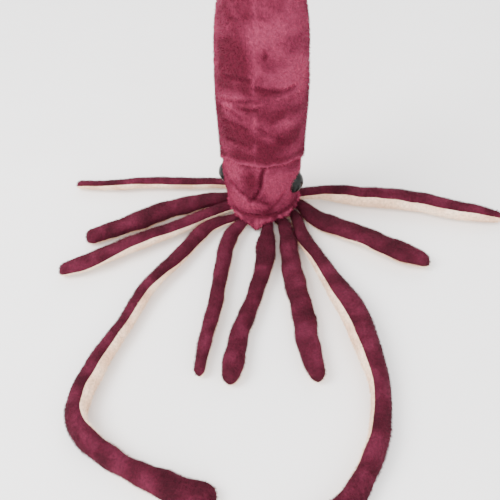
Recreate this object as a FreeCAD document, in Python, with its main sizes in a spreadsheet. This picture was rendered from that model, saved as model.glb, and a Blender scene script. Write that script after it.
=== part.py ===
import FreeCAD, Part
import math
import os
import Sketcher
from FreeCAD import Placement, Rotation, Vector

# A stuffed plush giant squid that sits upright on the rim of its head, with
# eight arms and two feeding tentacles spread over the table in front of it.
# Millimetres, +Z up. The origin is the middle of the mouth disc's underside.
# The dorsal side faces -Y and the belly faces +Y. Left and right are those of
# someone who looks at the dorsal side, so left is -X.
#
# Every plush piece is cut from one fabric and sewn round loose filling, so a
# body is a shell of panels with a stuffing piece inside.

doc = FreeCAD.newDocument("plush_giant_squid")

# ---------------------------------------------------------------- dimensions
SIZES = (
    # fabric
    ("plushThickness", 2.0),
    ("limbSkin", 1.6),
    ("seatGap", 0.4),
    ("rootGap", 0.6),
    # head: radius at four heights above the table
    ("headBaseRadius", 28.0),
    ("headWaistRadius", 31.2),
    ("headWaistHeight", 20.0),
    ("headCheekRadius", 35.4),
    ("headCheekHeight", 44.0),
    ("collarRadius", 37.0),
    ("collarHeight", 66.0),
    # neck: the head's top is a dome round the neck's pivot
    ("neckPivotHeight", 38.0),
    ("neckGap", 0.4),
    # sewn panels, as angles round the body, and the flat strips that a stuffed
    # body's roundness is built from
    ("dorsalPanelAngle", 112.5),
    ("roundSides", 32.0),
    ("eyeSides", 20.0),
    # mantle: radius at heights above the neck's pivot
    ("mantleRimRadius", 39.0),
    ("mantleWaistRadius", 40.2),
    ("mantleWaistHeight", 72.0),
    ("mantleMiddleRadius", 40.9),
    ("mantleMiddleHeight", 116.0),
    ("mantleUpperRadius", 38.3),
    ("mantleUpperHeight", 168.0),
    ("shoulderRadius", 32.4),
    ("shoulderHeight", 200.0),
    ("noseRadius", 8.8),
    ("noseHeight", 286.0),
    ("noseLength", 9.0),
    ("mantleLean", 4.0),
    # crown: the skirt that covers the sewn-in ends of the limbs
    ("crownRadius", 32.0),
    ("crownTopHeight", 19.0),
    ("crownPointAngle", 262.0),
    ("crownPointHalfWidth", 12.0),
    ("crownPointThickness", 1.4),
    ("crownPointClearance", 0.8),
    # safety eyes with a shank and a lock washer
    ("eyeRadius", 11.0),
    ("eyeRim", 1.0),
    ("eyeDome", 7.5),
    ("eyeSink", 1.2),
    ("eyeHeight", 48.0),
    ("eyeForwardAngle", 6.0),
    ("headTwist", 9.0),
    ("shankRadius", 2.5),
    ("shankLength", 13.0),
    ("washerRadius", 9.5),
    ("washerThickness", 1.5),
    ("washerDepth", 4.0),
    # arms
    ("armThickness", 12.0),
    ("armRootWidth", 12.0),
    ("armEdge", 3.6),
    # tentacles
    ("stalkThickness", 10.0),
    ("stalkRootWidth", 10.0),
    ("stalkEdge", 2.8),
    ("jointGap", 0.6),
    # fins
    ("finThickness", 7.0),
    ("finEdge", 2.0),
    ("finRootLow", 203.0),
    ("finRootLength", 78.0),
    ("finSpan", 44.0),
)

sheet = doc.addObject("Spreadsheet::Sheet", "Sizes")
for row, (alias, number) in enumerate(SIZES, start=1):
    sheet.set("A%d" % row, alias)
    sheet.set("B%d" % row, str(number))
    sheet.setAlias("B%d" % row, alias)
doc.recompute()


def size(alias):
    """The value of one driving dimension."""
    return float(sheet.get(alias))


# ------------------------------------------------------------------- helpers
parts = []
UP = Vector(0, 0, 1)
ORIGIN = Vector(0, 0, 0)
FULL_TURN = 360.0
# Further than any piece reaches from the origin.
WIDE = 1000.0


def add_shape(label, shape, placement=None):
    """A sub-part whose form neither sketches nor primitives give."""
    feature = doc.addObject("Part::Feature", label)
    feature.Label = label
    feature.Shape = shape
    if placement is not None:
        feature.Placement = placement
    parts.append(feature)
    return feature


def turned(spot, degrees):
    """A point or a shape, turned about the vertical axis."""
    turn = Rotation(UP, degrees)
    if isinstance(spot, Vector):
        return turn.multVec(spot)
    copy = spot.copy()
    copy.rotate(ORIGIN, UP, degrees)
    return copy


def line(first, last):
    return Part.LineSegment(first, last).toShape()


def chain(points):
    """Straight edges from each point to the next."""
    return [line(first, last) for first, last in zip(points, points[1:])]


def face_of(edges):
    return Part.Face(Part.Wire(Part.__sortEdges__(edges)))


def polygon(corners):
    """A flat face through its corners, which may meet on the axis."""
    distinct = [a for a, b in zip(corners, corners[1:] + corners[:1]) if not a.isEqual(b, 1e-7)]
    if len(distinct) < 3:
        return None
    return face_of(chain(distinct + distinct[:1]))


def many_sided(profile, start, sweep, sides):
    """A turned body made of flat strips, from a closed profile in the XZ plane."""
    step = sweep / sides
    loop = list(zip(profile, profile[1:] + profile[:1]))
    faces = []
    for index in range(sides):
        here = start + index * step
        there = here + step
        for first, last in loop:
            corners = [turned(first, here), turned(last, here),
                       turned(last, there), turned(first, there)]
            faces.append(polygon(corners))
    if sweep < FULL_TURN:
        faces.append(polygon([turned(spot, start) for spot in profile]))
        faces.append(polygon([turned(spot, start + sweep) for spot in profile]))
    shell = Part.makeShell([face for face in faces if face is not None])
    shell.sewShape()
    solid = Part.makeSolid(shell)
    if solid.Volume < 0:
        solid.reverse()
    return solid


def point(radius, height):
    """A point of a turned profile, in the XZ plane."""
    return Vector(radius, 0, height)


def dome_point(radius, dome_radius, centre_height):
    """The point at a given radius on a sphere round the vertical axis."""
    return point(radius, centre_height + math.sqrt(dome_radius**2 - radius**2))


def dome_points(outer, shares, dome_radius, centre_height):
    """Points on that sphere, at shares of an outer radius."""
    return [dome_point(outer * share, dome_radius, centre_height) for share in shares]


# -------------------------------------------------------- turned body panels
# Seams run along the dorsal middle, at -90 degrees, and along both flanks.
DORSAL_SEAM = -90.0


round_sides = int(size("roundSides"))


def whole_round(profile):
    """A many-sided body all the way round, with an edge on the dorsal seam."""
    return many_sided(profile, DORSAL_SEAM, FULL_TURN, round_sides)


def panels_of(wall):
    """The three sewn panels of a turned wall: dorsal left, dorsal right and belly."""
    half = size("dorsalPanelAngle")
    right_seam = DORSAL_SEAM + half
    sectors = {
        "dorsal_left": (DORSAL_SEAM - half, half),
        "dorsal_right": (DORSAL_SEAM, half),
        "belly": (right_seam, FULL_TURN - 2 * half),
    }
    return {
        name: many_sided(wall, start, sweep, round(round_sides * sweep / FULL_TURN))
        for name, (start, sweep) in sectors.items()
    }


# ---------------------------------------------------------------------- head
def head_curve(inset, bottom):
    """The side of the head as points, moved in by inset, from a given height up."""
    stations = (
        (size("headBaseRadius"), bottom),
        (size("headWaistRadius"), size("headWaistHeight")),
        (size("headCheekRadius"), size("headCheekHeight")),
    )
    return [point(radius - inset, height) for radius, height in stations]


pivot_height = size("neckPivotHeight")
dome_radius = math.hypot(size("collarRadius"), size("collarHeight") - pivot_height)
disc_top = size("plushThickness")
# Radii of the neck's dome and socket rings, as shares of the rim's.
DOME_SHARES = (0.8, 0.45, 0)
# How much larger the socket is than the dome, so its chords clear it.
SOCKET_SLACK = 1.01


def head_side(inset):
    """The head's side from the mouth disc to the rim of its dome."""
    rim = dome_point(size("collarRadius") - inset, dome_radius, pivot_height)
    return head_curve(inset, disc_top) + [rim]


def head_block(inset):
    """The whole head, solid to the axis and domed on top."""
    side = head_side(inset)
    dome = dome_points(side[-1].x, DOME_SHARES, dome_radius, pivot_height)
    return whole_round([point(0, disc_top)] + side + dome)


head_skin = size("plushThickness")
head_outside = head_block(0)
head_inside = head_block(head_skin)
head_panels = panels_of(head_side(head_skin) + head_side(0)[::-1])

# The cream disc that closes the head round the mouth. The squid stands on it.
mouth_disc = doc.addObject("Part::Cylinder", "mouth_disc")
mouth_disc.Label = "mouth_disc"
mouth_disc.setExpression("Radius", "Sizes.headBaseRadius")
mouth_disc.setExpression("Height", "Sizes.plushThickness")
parts.append(mouth_disc)


# --------------------------------------------------------------- safety eyes
def origin_plane(body, role):
    for feature in body.Origin.OriginFeatures:
        if feature.Role == role:
            return feature
    raise ValueError(role)


def radius_at(height, inset):
    """The head's radius at a height, measured on its turned side."""
    ray = line(Vector(0, 0, height), Vector(WIDE, 0, height))
    solid = head_outside if inset == 0 else head_inside
    return solid.common(ray).BoundBox.XMax


eye_seat = radius_at(size("eyeHeight"), 0) - size("eyeSink")


def eye_placement(side, depth):
    """A place on the eye's axis, its own +Z pointing out of the head.

    The cover is twisted a little on its filling, which brings the right eye
    further to the front than the left.
    """
    forward = -size("eyeForwardAngle") if side > 0 else 180 + size("eyeForwardAngle")
    angle = forward - size("headTwist")
    out = Vector(math.cos(math.radians(angle)), math.sin(math.radians(angle)), 0)
    spot = out * (eye_seat - depth) + UP * size("eyeHeight")
    return Placement(spot, Rotation(UP, out))


eye_sides = int(size("eyeSides"))


def add_eye(label, side):
    """Dome, rim and shank turned in one piece, as such eyes are moulded."""
    rim = size("eyeRim")
    dome = size("eyeDome")
    radius = size("eyeRadius")
    shank = size("shankRadius")
    length = size("shankLength")
    ball = (radius**2 + dome**2) / (2 * dome)
    centre = rim + dome - ball
    profile = [point(0, -length), point(shank, -length), point(shank, 0), point(radius, 0)]
    profile += dome_points(radius, (1,) + DOME_SHARES, ball, centre)
    button = many_sided(profile, 0, FULL_TURN, eye_sides)
    return add_shape(label, button, eye_placement(side, 0))


def add_washer(label, side):
    """The lock washer that grips the shank behind the fabric."""
    body = doc.addObject("PartDesign::Body", label)
    body.Label = label
    sketch = body.newObject("Sketcher::SketchObject", label + "_rings")
    sketch.AttachmentSupport = [(origin_plane(body, "XY_Plane"), "")]
    sketch.MapMode = "FlatFace"
    for ring, alias in enumerate(("washerRadius", "shankRadius")):
        sketch.addGeometry(Part.Circle(ORIGIN, UP, size(alias)))
        sketch.addConstraint(Sketcher.Constraint("Coincident", ring, 3, -1, 1))
        index = sketch.addConstraint(Sketcher.Constraint("Radius", ring, size(alias)))
        sketch.renameConstraint(index, alias)
        sketch.setExpression("Constraints." + alias, "Sizes." + alias)
    plate = body.newObject("PartDesign::Pad", label + "_plate")
    plate.Profile = sketch
    plate.setExpression("Length", "Sizes.washerThickness")
    body.Tip = plate
    body.Placement = eye_placement(side, size("washerDepth"))
    parts.append(body)
    return body


def washer_pocket(side):
    """The room that a washer takes in the filling, with flat strips for its rim."""
    reach = size("washerRadius") / math.cos(math.pi / eye_sides)
    thickness = size("washerThickness")
    profile = [point(0, 0), point(reach, 0), point(reach, thickness), point(0, thickness)]
    pocket = many_sided(profile, 0, FULL_TURN, eye_sides)
    pocket.Placement = eye_placement(side, size("washerDepth"))
    return pocket


eyes = []
pockets = []
for name, side in (("left", -1), ("right", 1)):
    eyes.append(add_eye("eye_" + name, side).Shape)
    add_washer("eye_washer_" + name, side)
    pockets.append(washer_pocket(side))
doc.recompute()

for name, panel in head_panels.items():
    add_shape("head_" + name, panel if name == "belly" else panel.cut(eyes))
add_shape("head_stuffing", head_inside.cut(eyes + pockets))


# --------------------------------------------------------------------- crown
def crown_shape():
    """The gathered skirt round the limb roots, with its point at the front."""
    top = size("crownTopHeight")
    outer = size("crownRadius")
    band = whole_round(
        [point(0, disc_top), point(outer, disc_top), point(outer, top), point(0, top)]
    )
    reach = size("crownRadius") + size("crownPointThickness")
    half = size("crownPointHalfWidth")
    tongue = face_of(
        [
            line(Vector(0, -half, top), Vector(0, half, top)),
            line(Vector(0, half, top), Vector(0, 0, size("crownPointClearance"))),
            line(Vector(0, 0, size("crownPointClearance")), Vector(0, -half, top)),
        ]
    ).extrude(Vector(reach * 2, 0, 0))
    tongue = turned(tongue, size("crownPointAngle"))
    tongue = tongue.common(Part.makeCylinder(reach, top, ORIGIN))
    return band.fuse(tongue).cut([head_outside, mouth_disc.Shape]).removeSplitter()


add_shape("arm_crown", crown_shape())

# -------------------------------------------------------------------- mantle
# Drawn upright from the neck's pivot, then leant a little to the right.
mantle_place = Placement(
    Vector(0, 0, pivot_height), Rotation(Vector(0, 1, 0), size("mantleLean"))
)
# Flat strips cut inside their circle, so the socket is a little larger for it.
ring_slack = 1 / math.cos(math.pi / round_sides)
socket_radius = (dome_radius + size("neckGap")) * ring_slack * SOCKET_SLACK
# The nose's rounding: how far out and how far up its shoulder lies, as shares.
NOSE_BULGE = (0.7, 0.75)


def mantle_side(inset):
    """The mantle's side: a barrel, then a straight cone to the rounded nose."""
    stations = (
        ("mantleWaistRadius", "mantleWaistHeight"),
        ("mantleMiddleRadius", "mantleMiddleHeight"),
        ("mantleUpperRadius", "mantleUpperHeight"),
        ("shoulderRadius", "shoulderHeight"),
    )
    rim = dome_point(size("mantleRimRadius") - inset, socket_radius, 0)
    waist, middle, upper, shoulder = [
        point(size(radius) - inset, size(height)) for radius, height in stations
    ]
    nose = point(size("noseRadius") - inset, size("noseHeight"))
    reach = size("noseLength") - inset
    tip = point(0, nose.z + reach)
    if inset > 0:
        return [rim, middle, shoulder, tip]
    bulge = point(nose.x * NOSE_BULGE[0], nose.z + reach * NOSE_BULGE[1])
    return [rim, waist, middle, upper, shoulder, nose, bulge, tip]


outer_side = mantle_side(0)
inner_side = mantle_side(size("plushThickness"))
socket = dome_points(inner_side[0].x, DOME_SHARES[::-1], socket_radius, 0)
for name, panel in panels_of(outer_side + inner_side[::-1]).items():
    add_shape("mantle_" + name, panel, mantle_place)
add_shape("mantle_stuffing", whole_round(inner_side + socket), mantle_place)


# ---------------------------------------------------------------------- fins
def fin_blank(thickness):
    """A rounded, arrow-shaped fin beside the cone, laid out on the right side."""
    cone_foot = point(size("shoulderRadius"), size("shoulderHeight"))
    cone_top = point(size("noseRadius"), size("noseHeight"))
    along = (cone_top - cone_foot).normalize()
    out = Vector(along.z, 0, -along.x)
    offset = size("seatGap") + size("finThickness") / 2
    low = cone_foot + along * ((size("finRootLow") - cone_foot.z) / along.z)
    root = low + out * offset
    length = size("finRootLength")
    span = size("finSpan")

    def spot(share_along, share_out):
        return root + along * (length * share_along) + out * (span * share_out)

    edge = [spot(0, 0), spot(0, 0.4), spot(0.09, 0.7), spot(0.28, 0.93), spot(0.5, 1.0),
            spot(0.72, 0.86), spot(0.9, 0.56), spot(1.0, 0.2), spot(1.0, 0)]
    outline = face_of(chain(edge + edge[:1]))
    outline.translate(Vector(0, -thickness / 2, 0))
    return outline.extrude(Vector(0, thickness, 0)), root, along


def fin_shapes():
    """The front and back layers of the right fin, with a rolled root edge."""
    thickness = size("finThickness")
    blank, root, along = fin_blank(thickness)
    rims = [e for e in blank.Edges if e.BoundBox.YLength < thickness / 2]
    soft = blank.makeChamfer(size("finEdge"), rims)
    roll = Part.makeCylinder(thickness / 2, size("finRootLength"), root, along)
    whole = soft.fuse(roll).removeSplitter()
    front_half = Part.makeBox(2 * WIDE, WIDE, 2 * WIDE, Vector(-WIDE, -WIDE, -WIDE))
    return {"front": whole.common(front_half), "back": whole.cut(front_half)}


for layer, shape in fin_shapes().items():
    mirrored = shape.mirror(ORIGIN, Vector(1, 0, 0))
    add_shape("fin_right_" + layer, shape, mantle_place)
    add_shape("fin_left_" + layer, mirrored, mantle_place)


# --------------------------------------------------------------------- limbs
def on_ring(angle, thickness):
    """Where a limb of that thickness is sewn to the crown, at an angle round it."""
    radius = size("crownRadius") + thickness / 2 + size("rootGap")
    return (
        radius * math.cos(math.radians(angle)),
        radius * math.sin(math.radians(angle)),
    )


def directions(points):
    """The unit direction of a route at each of its points."""
    result = []
    for index in range(len(points)):
        before = points[max(index - 1, 0)]
        after = points[min(index + 1, len(points) - 1)]
        result.append((after - before).normalize())
    return result


def round_end(centre, heading, half):
    """A half-round of short runs at a strip's end, from its right side to its left."""
    side = Vector(-heading.y, heading.x, 0)
    angles = [math.radians(degrees) for degrees in range(-90, 91, 30)]
    return [centre + (heading * math.cos(a) + side * math.sin(a)) * half for a in angles]


def limb_blank(route, widths, thickness):
    """A round-ended strip along a route on the table."""
    points = [Vector(x, y, 0) for x, y in route]
    along = directions(points)
    inner = list(zip(points, along, widths))[1:-1]
    left = []
    right = []
    for spot, heading, width in inner:
        side = Vector(-heading.y, heading.x, 0) * (width / 2)
        left.append(spot + side)
        right.append(spot - side)
    tip = round_end(points[-1], along[-1], widths[-1] / 2)
    root = round_end(points[0], along[0] * -1, widths[0] / 2)
    outline = tip + left[::-1] + root + right
    return face_of(chain(outline + outline[:1])).extrude(UP * thickness)


def layer(low, high):
    """All the space between two heights, wide enough for any limb."""
    corner = Vector(-WIDE, -WIDE, low)
    return Part.makeBox(2 * WIDE, 2 * WIDE, high - low, corner)


def add_limb(label, route, widths, thickness, edge, socket=None):
    """A maroon top strip and a cream under strip, sewn round a thin stuffing."""
    blank = limb_blank(route, widths, thickness)
    rims = [e for e in blank.Edges if e.BoundBox.ZLength < thickness / 2]
    outside = blank.makeChamfer(edge, rims)
    filling = limb_blank(route, [width - 2 * edge for width in widths], thickness)
    skin_level = size("limbSkin")
    filling = filling.common(layer(skin_level, thickness - skin_level))
    if socket is not None:
        outside = outside.cut(socket)
        filling = filling.cut(socket)
    lower_half = layer(-thickness, thickness / 2)
    shell = outside.cut(filling)
    add_shape(label + "_top", shell.cut(lower_half))
    add_shape(label + "_under", shell.common(lower_half))
    add_shape(label + "_stuffing", filling)


# Each arm: its place round the crown, the points it passes on the table, and
# how wide it is there. They lie as a stuffed arm falls, so no two are alike.
ARMS = {
    "arm_left_rear": (135, ((-52, 28), (-102, 24), (-162, 17), (-205, 15)), (13, 15, 16, 14)),
    "arm_left_outer": (169, ((-62, 1), (-107, -25), (-142, -45), (-161, -56)), (14, 17, 19, 17)),
    "arm_left_middle": (191, ((-62, -27), (-97, -55), (-132, -81), (-173, -107)), (13, 15, 18, 15)),
    "arm_left_front": (238, ((-26, -60), (-27, -110), (-25, -155), (-22, -198)), (13, 13, 13, 12)),
    "arm_right_front": (285, ((12, -80), (10, -120), (5, -170), (4, -202)), (13, 14, 15, 15)),
    "arm_right_middle": (-48, ((36, -75), (48, -120), (64, -165), (73, -189)), (13, 15, 16, 14)),
    "arm_right_outer": (3, ((60, -11), (100, -31), (130, -46), (153, -58)), (14, 16, 17, 16)),
    "arm_right_rear": (29, ((78, 17), (128, 16), (170, 11), (226, 2)), (15, 16, 16, 14)),
}
for label, (angle, route, widths) in ARMS.items():
    thickness = size("armThickness")
    add_limb(
        label,
        (on_ring(angle, thickness),) + route,
        (size("armRootWidth"),) + widths,
        thickness,
        size("armEdge"),
    )

# Each tentacle is a long stalk with an elbow, and a broad club at its end. The
# last point of a stretch is the pivot of the next one.
TENTACLES = {
    "tentacle_left": (
        219,
        (
            ("stalk", ((-59, -70), (-86, -123), (-105, -187)), (12, 13, 13)),
            ("elbow", ((-114, -236), (-109, -262), (-72, -283)), (13, 14, 14)),
            ("club", ((-45, -293), (-18, -300), (5, -305)), (17, 24, 18)),
        ),
    ),
    "tentacle_right": (
        -21,
        (
            ("stalk", ((40, -37), (69, -83), (99, -127), (120, -176)), (11, 12, 13, 13)),
            ("elbow", ((128, -212), (124, -247), (108, -282)), (13, 14, 14)),
            ("club", ((95, -305), (80, -330), (67, -350)), (17, 24, 18)),
        ),
    ),
}


def short_of(last, before, reach):
    """A point that far before the last point of a route."""
    back = (Vector(*before, 0) - Vector(*last, 0)).normalize() * reach
    return (last[0] + back.x, last[1] + back.y)


for name, (angle, stretches) in TENTACLES.items():
    thickness = size("stalkThickness")
    pivot = on_ring(angle, thickness)
    for stretch, route, widths in stretches:
        last = route[-1]
        socket = None
        if stretch != "club":
            ball = thickness / 2 + size("jointGap")
            socket = Part.makeSphere(ball, Vector(last[0], last[1], thickness / 2))
            last = short_of(last, route[-2], widths[-1] / 2)
        add_limb(
            "%s_%s" % (name, stretch),
            (pivot,) + route[:-1] + (last,),
            (size("stalkRootWidth"),) + widths,
            thickness,
            size("stalkEdge"),
            socket,
        )
        pivot = route[-1]

# -------------------------------------------------------------------- export
doc.recompute()
for item in doc.Objects:
    if "Invalid" in item.State or "Error" in item.State:
        raise RuntimeError("%s failed: %s" % (item.Label, item.State))
for part in parts:
    if part.Shape.isNull() or not part.Shape.isValid() or not part.Shape.Solids:
        raise RuntimeError("%s has no valid solid" % part.Label)

os.makedirs("parts", exist_ok=True)
for part in parts:
    part.Shape.exportStep("parts/%s.step" % part.Label)
print("%d sub-parts" % len(parts))
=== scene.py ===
import math
import bmesh
import bpy
import numpy as np
from mathutils import Matrix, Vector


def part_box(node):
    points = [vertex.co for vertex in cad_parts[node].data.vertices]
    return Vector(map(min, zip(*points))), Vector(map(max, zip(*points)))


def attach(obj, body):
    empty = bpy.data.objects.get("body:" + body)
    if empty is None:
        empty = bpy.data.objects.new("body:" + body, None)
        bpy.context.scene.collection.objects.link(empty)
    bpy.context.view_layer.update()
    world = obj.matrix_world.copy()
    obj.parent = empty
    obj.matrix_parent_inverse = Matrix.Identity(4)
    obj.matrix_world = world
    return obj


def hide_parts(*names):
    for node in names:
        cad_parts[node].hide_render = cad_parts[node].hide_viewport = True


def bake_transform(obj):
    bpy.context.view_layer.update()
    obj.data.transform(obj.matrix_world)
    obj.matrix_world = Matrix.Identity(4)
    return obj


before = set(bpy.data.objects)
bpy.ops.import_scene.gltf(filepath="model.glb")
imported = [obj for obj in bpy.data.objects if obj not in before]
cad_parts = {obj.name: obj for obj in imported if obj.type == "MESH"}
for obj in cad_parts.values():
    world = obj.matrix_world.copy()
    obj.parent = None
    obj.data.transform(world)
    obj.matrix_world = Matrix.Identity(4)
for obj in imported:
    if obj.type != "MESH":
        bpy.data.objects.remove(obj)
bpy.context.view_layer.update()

# ---------------------------------------------------------------------- camera
# A 48 mm lens above and in front of the toy's dorsal side, tipped down at the
# spread limbs.
def placed(name, data):
    """An object for a mesh, lamp or camera, put in the scene."""
    piece = bpy.data.objects.new(name, data)
    bpy.context.scene.collection.objects.link(piece)
    return piece


view = placed("view", bpy.data.cameras.new("view"))
view.data.lens = 47.86
view.data.sensor_width = 36.0
view.data.clip_start = 0.01
view.matrix_world = Matrix((
    (0.98134, -0.06848, 0.17980, 0.1108),
    (0.17238, 0.72813, -0.66347, -0.48633),
    (-0.08550, 0.68207, 0.72628, 0.46914),
    (0.0, 0.0, 0.0, 1.0),
))
bpy.context.scene.camera = view


# ----------------------------------------------------------- floor and lights
# A pale painted board under the toy, and large soft lamps: the main one high
# on the left, weaker ones in front, right and behind, and an even white surround.
def srgb(code):
    """A colour written as sRGB hex, in the linear values a shader takes."""
    parts = [int(code[i:i + 2], 16) / 255 for i in (1, 3, 5)]
    return tuple(
        c / 12.92 if c <= 0.04045 else ((c + 0.055) / 1.055) ** 2.4 for c in parts
    ) + (1.0,)


def add(tree, kind, inputs=None, **settings):
    """One node with its settings. An input takes a value or another node's output."""
    made = tree.nodes.new(kind)
    for name, value in settings.items():
        setattr(made, name, value)
    for name, value in (inputs or {}).items():
        if isinstance(value, bpy.types.NodeSocket):
            tree.links.new(value, made.inputs[name])
        else:
            made.inputs[name].default_value = value
    return made


def bare_material(name):
    """A material with nothing in it yet, and its tree."""
    material = bpy.data.materials.new(name)
    material.use_nodes = True
    material.node_tree.nodes.clear()
    return material, material.node_tree


def two_toned(tree, place, scale, one, other, detail=2.0):
    """A colour that drifts between two. Its scale is how many grains go to a metre."""
    grains = add(tree, "ShaderNodeTexNoise", {
        "Vector": place, "Scale": scale, "Detail": detail,
    })
    return add(tree, "ShaderNodeMix", {
        0: grains.outputs[0], 6: srgb(one), 7: srgb(other),
    }, data_type="RGBA").outputs[2]


# Emulsion paint on board, put on by roller: flat, with a faint unevenness.
painted_board, tree = bare_material("painted_board_rolled")
place = add(tree, "ShaderNodeTexCoord").outputs["Object"]
roller = add(tree, "ShaderNodeTexNoise", {"Vector": place, "Scale": 700.0})
relief = add(tree, "ShaderNodeBump", {
    "Strength": 0.1, "Distance": 0.0002, "Height": roller.outputs[0],
})
paint = add(tree, "ShaderNodeBsdfPrincipled", {
    "Base Color": two_toned(tree, place, 9.0, "#EBE9E7", "#F1EFEE"),
    "Roughness": 0.75, "Normal": relief.outputs[0],
})
add(tree, "ShaderNodeOutputMaterial", {"Surface": paint.outputs[0]})

FLOOR_HALF = 6.0
FLOOR_HEIGHT = -0.0002
floor_mesh = bpy.data.meshes.new("floor")
floor_mesh.from_pydata([
    (x * FLOOR_HALF, y * FLOOR_HALF, FLOOR_HEIGHT) for x, y in ((-1, -1), (1, -1), (1, 1), (-1, 1))
], [], [(0, 1, 2, 3)])
floor_mesh.materials.append(painted_board)
floor = placed("floor", floor_mesh)

# Name, place and side in metres, and watts. All aim a little above the toy's foot.
AIM_HEIGHT = 0.08
for lamp_name, spot, side, watts in (
    ("lamp_left", (-0.9, -0.5, 1.25), 0.9, 44.0),
    ("lamp_front", (0.2, -1.5, 0.8), 1.3, 26.0),
    ("lamp_right", (1.2, -0.9, 1.0), 1.1, 12.0),
    ("lamp_back", (0.1, 1.3, 1.2), 1.2, 14.0),
):
    lamp = bpy.data.lights.new(lamp_name, "AREA")
    lamp.size = side
    lamp.energy = watts
    holder = placed(lamp_name, lamp)
    holder.location = spot
    aim = -holder.location
    aim.z += AIM_HEIGHT
    holder.rotation_euler = aim.to_track_quat("-Z", "Y").to_euler()

surround = bpy.data.worlds.new("surround")
surround.use_nodes = True
surround.node_tree.nodes["Background"].inputs["Color"].default_value = srgb("#F2F2F4")
surround.node_tree.nodes["Background"].inputs["Strength"].default_value = 2.1
bpy.context.scene.world = surround


# ---------------------------------------------------------------------- mantle
# The long body: three panels of short-pile polyester plush, sewn round loose
# filling, maroon on the dorsal side and cream on the belly. It is stuffed
# through the lower end and sewn down over the head along a ragged hem.
MM = 0.001


def plush(name, dark, middle, light, patch_mm, tuft_mm, as_pile):
    """Short-pile polyester plush, knitted and sheared: dull, deep and soft-edged.

    Its nap lies in patches, which look lighter or darker by the way they lean. A vertex
    attribute adds the places where a hand has brushed it down (1) or up (-1), and
    painted shade: darker in creases, folds and the slits under edges, and painted
    lighter along seams and hem edges.
    """
    material, tree = bare_material(name)
    place = add(tree, "ShaderNodeTexCoord").outputs["Object"]
    patches = add(tree, "ShaderNodeTexNoise", {
        "Vector": place, "Scale": 1 / (patch_mm * MM), "Detail": 3.0, "Roughness": 0.55,
        "Distortion": 0.4,
    })
    # Brushed nap and painted shade together: this attribute also darkens creases, folds and slits.
    swept = add(tree, "ShaderNodeAttribute", attribute_name="swept").outputs["Fac"]
    turned = add(tree, "ShaderNodeMath", {0: swept, 1: 0.2, 2: patches.outputs[0]},
                 operation="MULTIPLY_ADD")
    shades = add(tree, "ShaderNodeValToRGB", {0: turned.outputs[0]})
    ramp = shades.color_ramp
    ramp.elements[0].position = 0.34
    ramp.elements[0].color = srgb(light)
    ramp.elements[1].position = 0.68
    ramp.elements[1].color = srgb(dark)
    ramp.elements.new(0.50).color = srgb(middle)
    # Tufts are about 1 mm apart. They are drawn a little coarser, so they show.
    tufts = add(tree, "ShaderNodeTexNoise", {
        "Vector": place, "Scale": 1 / (tuft_mm * MM), "Detail": 2.0,
    })
    # The tuft grain: random tone, and painted shade too, since the low places of the bump are made
    # darker.
    depth = add(tree, "ShaderNodeMapRange", {
        0: tufts.outputs[0], 1: 0.3, 2: 0.7, 3: 0.76, 4: 1.16,
    })
    shade = depth.outputs[0]
    if as_pile:
        # Painted shade down in the pile: each fibre is darker at its root and lighter at its tip.
        along = add(tree, "ShaderNodeAttribute", attribute_name="along").outputs["Fac"]
        lot = add(tree, "ShaderNodeAttribute", attribute_name="lot").outputs["Fac"]
        tip = add(tree, "ShaderNodeMapRange", {0: along, 1: 0.0, 2: 1.0, 3: 0.66, 4: 1.16})
        spread = add(tree, "ShaderNodeMapRange", {0: lot, 1: 0.0, 2: 1.0, 3: 0.86, 4: 1.16})
        both = add(tree, "ShaderNodeMath", {0: tip.outputs[0], 1: spread.outputs[0]},
                   operation="MULTIPLY")
        shade = add(tree, "ShaderNodeMath", {0: shade, 1: both.outputs[0]},
                    operation="MULTIPLY").outputs[0]
    colour = add(tree, "ShaderNodeMix", {
        0: 1.0, 6: shades.outputs[0], 7: shade,
    }, data_type="RGBA", blend_type="MULTIPLY")
    relief = add(tree, "ShaderNodeBump", {
        "Strength": 0.7, "Distance": 0.0011, "Height": tufts.outputs[0],
    })
    fibre = add(tree, "ShaderNodeBsdfPrincipled", {
        "Base Color": colour.outputs[2],
        "Roughness": 0.86,
        "Specular IOR Level": 0.12,
        "Sheen Weight": 0.15,
        "Sheen Roughness": 0.45,
        "Sheen Tint": srgb(light),
        "Normal": relief.outputs[0],
    })
    add(tree, "ShaderNodeOutputMaterial", {"Surface": fibre.outputs[0]})
    return material


# Polyester plush in two dyes: the knitted backing, and the sheared pile on it.
# Patches of its nap are about 3 cm across, and its tufts about 2 mm.
maroon_skin = plush("maroon_plush_knit", "#4D1122", "#642135", "#7A2F46", 34, 2.2, False)
maroon_pile = plush("maroon_plush_pile", "#571328", "#75253E", "#93344F", 34, 2.2, True)
cream_skin = plush("cream_plush_knit", "#D9B192", "#ECC8A9", "#F6D9BE", 26, 2.0, False)
cream_pile = plush("cream_plush_pile", "#E5BF9F", "#F6D6BA", "#FDE6CF", 26, 2.0, True)
BODY_PLUSH = (maroon_skin, cream_skin, maroon_pile, cream_pile)


CURVE_STEPS = 24


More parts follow.
